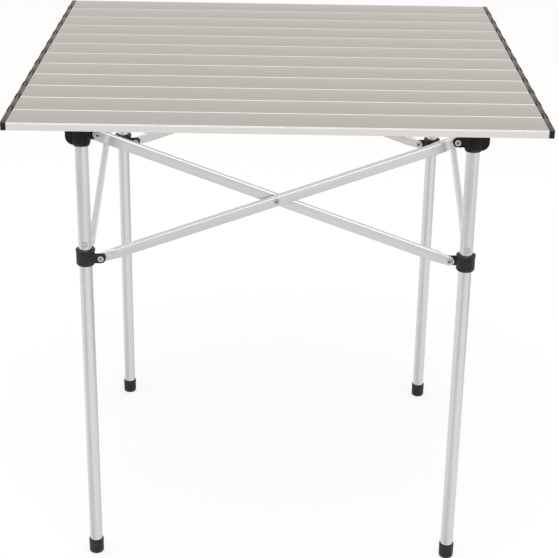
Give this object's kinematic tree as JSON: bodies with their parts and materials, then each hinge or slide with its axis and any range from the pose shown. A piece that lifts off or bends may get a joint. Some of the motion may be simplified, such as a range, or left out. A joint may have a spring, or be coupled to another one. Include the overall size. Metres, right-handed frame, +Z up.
{
  "type": "folding side table",
  "caption": "Square folding camp table: slatted roll-up top lifted off four round legs that fold together on scissor bars with sliding sleeves.",
  "frame": {"origin": "on the floor, under the middle of the table", "axes": "+Z up, -Y to the front edge of the top, +X to the right, slats along X"},
  "size_m": [0.7, 0.6996, 0.69],
  "materials": {
    "slat": "brushed, clear anodised",
    "tube": "satin",
    "bar": "satin",
    "end_cap": "matte",
    "black_plastic": "satin moulded",
    "rivet": "polished",
    "elastic": "matte braided"
  },
  "bodies": {
    "leg_front_left": {"leg_front_left": "tube", "foot_front_left": "black_plastic", "top_hub_front_left": "black_plastic", "hub_rivet_front_left_inner_bar": "rivet", "hub_rivet_front_left_outer_bar": "rivet"},
    "leg_front_right": {"leg_front_right": "tube", "foot_front_right": "black_plastic", "top_hub_front_right": "black_plastic", "hub_rivet_front_right_inner_bar": "rivet", "hub_rivet_front_right_outer_bar": "rivet"},
    "leg_back_right": {"leg_back_right": "tube", "foot_back_right": "black_plastic", "top_hub_back_right": "black_plastic", "hub_rivet_back_right_inner_bar": "rivet", "hub_rivet_back_right_outer_bar": "rivet"},
    "leg_back_left": {"leg_back_left": "tube", "foot_back_left": "black_plastic", "top_hub_back_left": "black_plastic", "hub_rivet_back_left_inner_bar": "rivet", "hub_rivet_back_left_outer_bar": "rivet"},
    "slider_front_left": {"slider_front_left": "black_plastic", "slider_rivet_front_left_inner_bar": "rivet", "slider_rivet_front_left_outer_bar": "rivet"},
    "slider_front_right": {"slider_front_right": "black_plastic", "slider_rivet_front_right_inner_bar": "rivet", "slider_rivet_front_right_outer_bar": "rivet"},
    "slider_back_right": {"slider_back_right": "black_plastic", "slider_rivet_back_right_inner_bar": "rivet", "slider_rivet_back_right_outer_bar": "rivet"},
    "slider_back_left": {"slider_back_left": "black_plastic", "slider_rivet_back_left_inner_bar": "rivet", "slider_rivet_back_left_outer_bar": "rivet"},
    "inner_bar_front": {"inner_bar_front": "bar", "crossing_rivet_front": "rivet"},
    "outer_bar_front": {"outer_bar_front": "bar"},
    "inner_bar_right": {"inner_bar_right": "bar", "crossing_rivet_right": "rivet"},
    "outer_bar_right": {"outer_bar_right": "bar"},
    "inner_bar_back": {"inner_bar_back": "bar", "crossing_rivet_back": "rivet"},
    "outer_bar_back": {"outer_bar_back": "bar"},
    "inner_bar_left": {"inner_bar_left": "bar", "crossing_rivet_left": "rivet"},
    "outer_bar_left": {"outer_bar_left": "bar"},
    "slat_01": {"slat_01": "slat", "elastic_cord_left": "elastic", "elastic_cord_right": "elastic"},
    "slat_02": {"slat_02": "slat"},
    "slat_03": {"slat_03": "slat"},
    "slat_04": {"slat_04": "slat"},
    "slat_05": {"slat_05": "slat"},
    "slat_06": {"slat_06": "slat"},
    "slat_07": {"slat_07": "slat"},
    "slat_08": {"slat_08": "slat"},
    "slat_09": {"slat_09": "slat"},
    "slat_10": {"slat_10": "slat"},
    "slat_11": {"slat_11": "slat"},
    "slat_12": {"slat_12": "slat"}
  },
  "joints": [
    {"name": "frame_fold", "type": "hinge", "parent": "leg_front_left", "child": "inner_bar_front", "pos_m": [-0.2385, -0.26, 0.6462], "axis": [0, 1, 0], "range_deg": [0, 64]},
    {"name": "front_crossing", "type": "hinge", "parent": "inner_bar_front", "child": "outer_bar_front", "pos_m": [0, -0.26, 0.5596], "axis": [0, 1, 0], "range_deg": [-128, 0]},
    {"name": "front_right_hub_front", "type": "hinge", "parent": "outer_bar_front", "child": "leg_front_right", "pos_m": [0.2385, -0.26, 0.6462], "axis": [0, 1, 0], "range_deg": [0, 64]},
    {"name": "front_left_slider_front", "type": "hinge", "parent": "outer_bar_front", "child": "slider_front_left", "pos_m": [-0.2385, -0.26, 0.473], "axis": [0, 1, 0], "range_deg": [0, 64]},
    {"name": "front_right_slider_front", "type": "hinge", "parent": "inner_bar_front", "child": "slider_front_right", "pos_m": [0.2385, -0.26, 0.473], "axis": [0, 1, 0], "range_deg": [-64, 0]},
    {"name": "front_left_hub_side", "type": "hinge", "parent": "leg_front_left", "child": "outer_bar_left", "pos_m": [-0.26, -0.2385, 0.6462], "axis": [-1, 0, 0], "range_deg": [0, 64]},
    {"name": "left_crossing", "type": "hinge", "parent": "outer_bar_left", "child": "inner_bar_left", "pos_m": [-0.26, 0, 0.5596], "axis": [-1, 0, 0], "range_deg": [-128, 0]},
    {"name": "back_left_hub_side", "type": "hinge", "parent": "inner_bar_left", "child": "leg_back_left", "pos_m": [-0.26, 0.2385, 0.6462], "axis": [-1, 0, 0], "range_deg": [0, 64]},
    {"name": "back_left_slider_side", "type": "hinge", "parent": "outer_bar_left", "child": "slider_back_left", "pos_m": [-0.26, 0.2385, 0.473], "axis": [-1, 0, 0], "range_deg": [-64, 0]},
    {"name": "front_right_hub_side", "type": "hinge", "parent": "leg_front_right", "child": "inner_bar_right", "pos_m": [0.26, -0.2385, 0.6462], "axis": [-1, 0, 0], "range_deg": [0, 64]},
    {"name": "right_crossing", "type": "hinge", "parent": "inner_bar_right", "child": "outer_bar_right", "pos_m": [0.26, 0, 0.5596], "axis": [-1, 0, 0], "range_deg": [-128, 0]},
    {"name": "back_right_hub_side", "type": "hinge", "parent": "outer_bar_right", "child": "leg_back_right", "pos_m": [0.26, 0.2385, 0.6462], "axis": [-1, 0, 0], "range_deg": [0, 64]},
    {"name": "back_right_slider_side", "type": "hinge", "parent": "inner_bar_right", "child": "slider_back_right", "pos_m": [0.26, 0.2385, 0.473], "axis": [-1, 0, 0], "range_deg": [-64, 0]},
    {"name": "back_left_hub_back", "type": "hinge", "parent": "leg_back_left", "child": "outer_bar_back", "pos_m": [-0.2385, 0.26, 0.6462], "axis": [0, 1, 0], "range_deg": [0, 64]},
    {"name": "back_crossing", "type": "hinge", "parent": "outer_bar_back", "child": "inner_bar_back", "pos_m": [0, 0.26, 0.5596], "axis": [0, 1, 0], "range_deg": [-128, 0]},
    {"name": "tabletop_lift", "type": "slide", "parent": "leg_front_left", "child": "slat_01", "axis": [0, 0, 1], "range_m": [0, 0.25]},
    {"name": "tabletop_roll", "type": "hinge", "parent": "slat_01", "child": "slat_02", "pos_m": [0, -0.29167, 0.69], "axis": [1, 0, 0], "range_deg": [0, 42], "deforming": ["elastic_cord_left", "elastic_cord_right"]},
    {"name": "slat_joint_02", "type": "hinge", "parent": "slat_02", "child": "slat_03", "pos_m": [0, -0.23333, 0.69], "axis": [1, 0, 0], "range_deg": [0, 42.15]},
    {"name": "slat_joint_03", "type": "hinge", "parent": "slat_03", "child": "slat_04", "pos_m": [0, -0.175, 0.69], "axis": [1, 0, 0], "range_deg": [0, 42.86]},
    {"name": "slat_joint_04", "type": "hinge", "parent": "slat_04", "child": "slat_05", "pos_m": [0, -0.11667, 0.69], "axis": [1, 0, 0], "range_deg": [0, 44.37]},
    {"name": "slat_joint_05", "type": "hinge", "parent": "slat_05", "child": "slat_06", "pos_m": [0, -0.05833, 0.69], "axis": [1, 0, 0], "range_deg": [0, 46.86]},
    {"name": "slat_joint_06", "type": "hinge", "parent": "slat_06", "child": "slat_07", "pos_m": [0, 0, 0.69], "axis": [1, 0, 0], "range_deg": [0, 50.48]},
    {"name": "slat_joint_07", "type": "hinge", "parent": "slat_07", "child": "slat_08", "pos_m": [0, 0.05833, 0.69], "axis": [1, 0, 0], "range_deg": [0, 55.39]},
    {"name": "slat_joint_08", "type": "hinge", "parent": "slat_08", "child": "slat_09", "pos_m": [0, 0.11667, 0.69], "axis": [1, 0, 0], "range_deg": [0, 61.68]},
    {"name": "slat_joint_09", "type": "hinge", "parent": "slat_09", "child": "slat_10", "pos_m": [0, 0.175, 0.69], "axis": [1, 0, 0], "range_deg": [0, 69.48]},
    {"name": "slat_joint_10", "type": "hinge", "parent": "slat_10", "child": "slat_11", "pos_m": [0, 0.23333, 0.69], "axis": [1, 0, 0], "range_deg": [0, 78.89]},
    {"name": "slat_joint_11", "type": "hinge", "parent": "slat_11", "child": "slat_12", "pos_m": [0, 0.29167, 0.69], "axis": [1, 0, 0], "range_deg": [0, 90]}
  ],
  "couplings": [
    {"joint": "front_crossing", "follows": "frame_fold", "ratio": -2},
    {"joint": "front_right_hub_front", "follows": "frame_fold", "ratio": 1},
    {"joint": "front_left_slider_front", "follows": "frame_fold", "ratio": 1},
    {"joint": "front_right_slider_front", "follows": "frame_fold", "ratio": -1},
    {"joint": "front_left_hub_side", "follows": "frame_fold", "ratio": 1},
    {"joint": "left_crossing", "follows": "frame_fold", "ratio": -2},
    {"joint": "back_left_hub_side", "follows": "frame_fold", "ratio": 1},
    {"joint": "back_left_slider_side", "follows": "frame_fold", "ratio": -1},
    {"joint": "front_right_hub_side", "follows": "frame_fold", "ratio": 1},
    {"joint": "right_crossing", "follows": "frame_fold", "ratio": -2},
    {"joint": "back_right_hub_side", "follows": "frame_fold", "ratio": 1},
    {"joint": "back_right_slider_side", "follows": "frame_fold", "ratio": -1},
    {"joint": "back_left_hub_back", "follows": "frame_fold", "ratio": 1},
    {"joint": "back_crossing", "follows": "frame_fold", "ratio": -2},
    {"joint": "slat_joint_02", "follows": "tabletop_roll", "ratio": 1.0036},
    {"joint": "slat_joint_03", "follows": "tabletop_roll", "ratio": 1.0204},
    {"joint": "slat_joint_04", "follows": "tabletop_roll", "ratio": 1.0563},
    {"joint": "slat_joint_05", "follows": "tabletop_roll", "ratio": 1.1156},
    {"joint": "slat_joint_06", "follows": "tabletop_roll", "ratio": 1.202},
    {"joint": "slat_joint_07", "follows": "tabletop_roll", "ratio": 1.3187},
    {"joint": "slat_joint_08", "follows": "tabletop_roll", "ratio": 1.4685},
    {"joint": "slat_joint_09", "follows": "tabletop_roll", "ratio": 1.6542},
    {"joint": "slat_joint_10", "follows": "tabletop_roll", "ratio": 1.8782},
    {"joint": "slat_joint_11", "follows": "tabletop_roll", "ratio": 2.1429}
  ]
}
